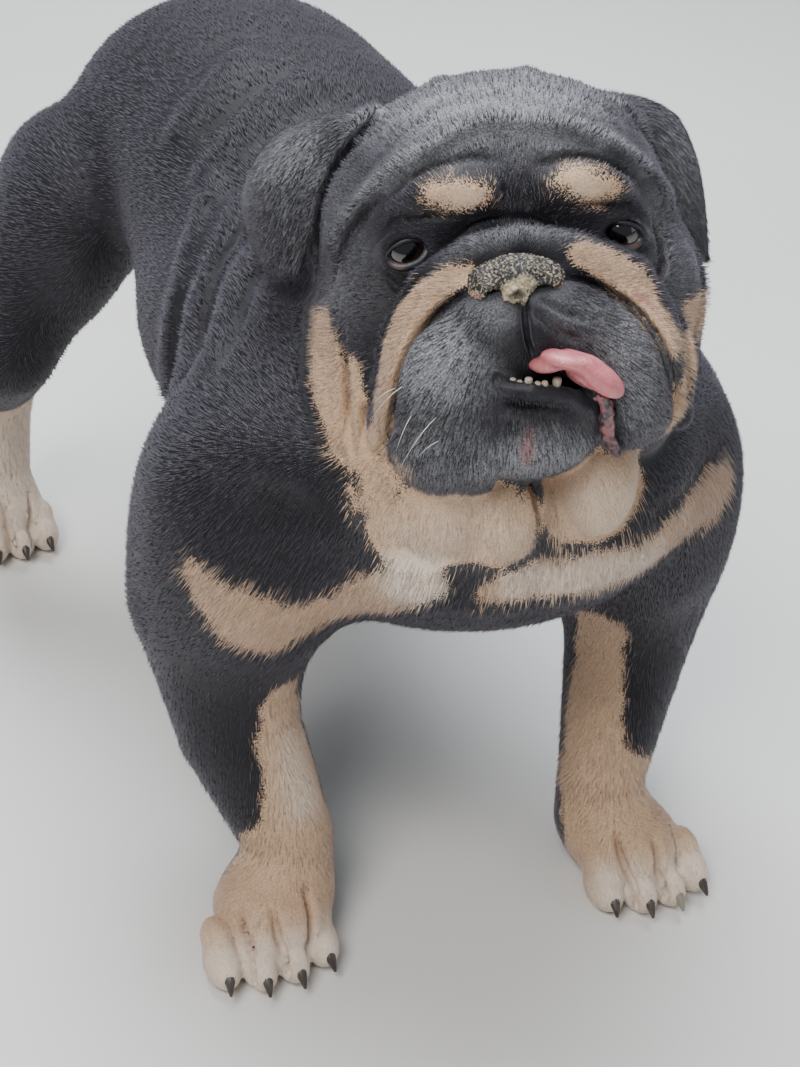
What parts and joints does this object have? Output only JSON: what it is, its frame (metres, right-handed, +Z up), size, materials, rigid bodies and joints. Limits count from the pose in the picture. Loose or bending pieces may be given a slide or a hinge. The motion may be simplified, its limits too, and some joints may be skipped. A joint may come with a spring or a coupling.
{
  "type": "english bulldog",
  "caption": "Still, life-size model of a standing English bulldog: broad wrinkled head turned and raised, folded ears, heavy chest, short legs and a small tail.",
  "frame": {"origin": "on the floor, under the middle of the whole dog's box", "axes": "+X towards the dog's left, +Y towards its tail, +Z up; the front legs and face are on the -Y side"},
  "size_m": [0.4012, 0.6028, 0.4796],
  "materials": {
    "coat": "short dense fur, blue-black",
    "coat_tan": "short dense fur, tan",
    "nose": "rough dry nose leather",
    "tongue": "moist",
    "eye": "wet and glossy, very dark brown",
    "claw": "satin horn"
  },
  "bodies": {
    "root": {"head": "coat", "lower_jaw": "coat", "dewlap": "coat_tan", "neck": "coat", "torso": "coat", "tail": "coat", "nose": "nose", "tongue": "tongue", "eye_right": "eye", "eye_left": "eye", "ear_right": "coat", "ear_left": "coat", "foreleg_right_upper": "coat", "foreleg_right_lower": "coat", "foreleg_right_paw": "coat_tan", "foreleg_right_claw_1": "claw", "foreleg_right_claw_2": "claw", "foreleg_right_claw_3": "claw", "foreleg_right_claw_4": "claw", "foreleg_left_upper": "coat", "foreleg_left_lower": "coat", "foreleg_left_paw": "coat_tan", "foreleg_left_claw_1": "claw", "foreleg_left_claw_2": "claw", "foreleg_left_claw_3": "claw", "foreleg_left_claw_4": "claw", "hindleg_right_thigh": "coat", "hindleg_right_lower": "coat", "hindleg_right_paw": "coat_tan", "hindleg_right_claw_1": "claw", "hindleg_right_claw_2": "claw", "hindleg_right_claw_3": "claw", "hindleg_right_claw_4": "claw", "hindleg_left_thigh": "coat", "hindleg_left_lower": "coat", "hindleg_left_paw": "coat_tan", "hindleg_left_claw_1": "claw", "hindleg_left_claw_2": "claw", "hindleg_left_claw_3": "claw", "hindleg_left_claw_4": "claw"}
  },
  "joints": []
}
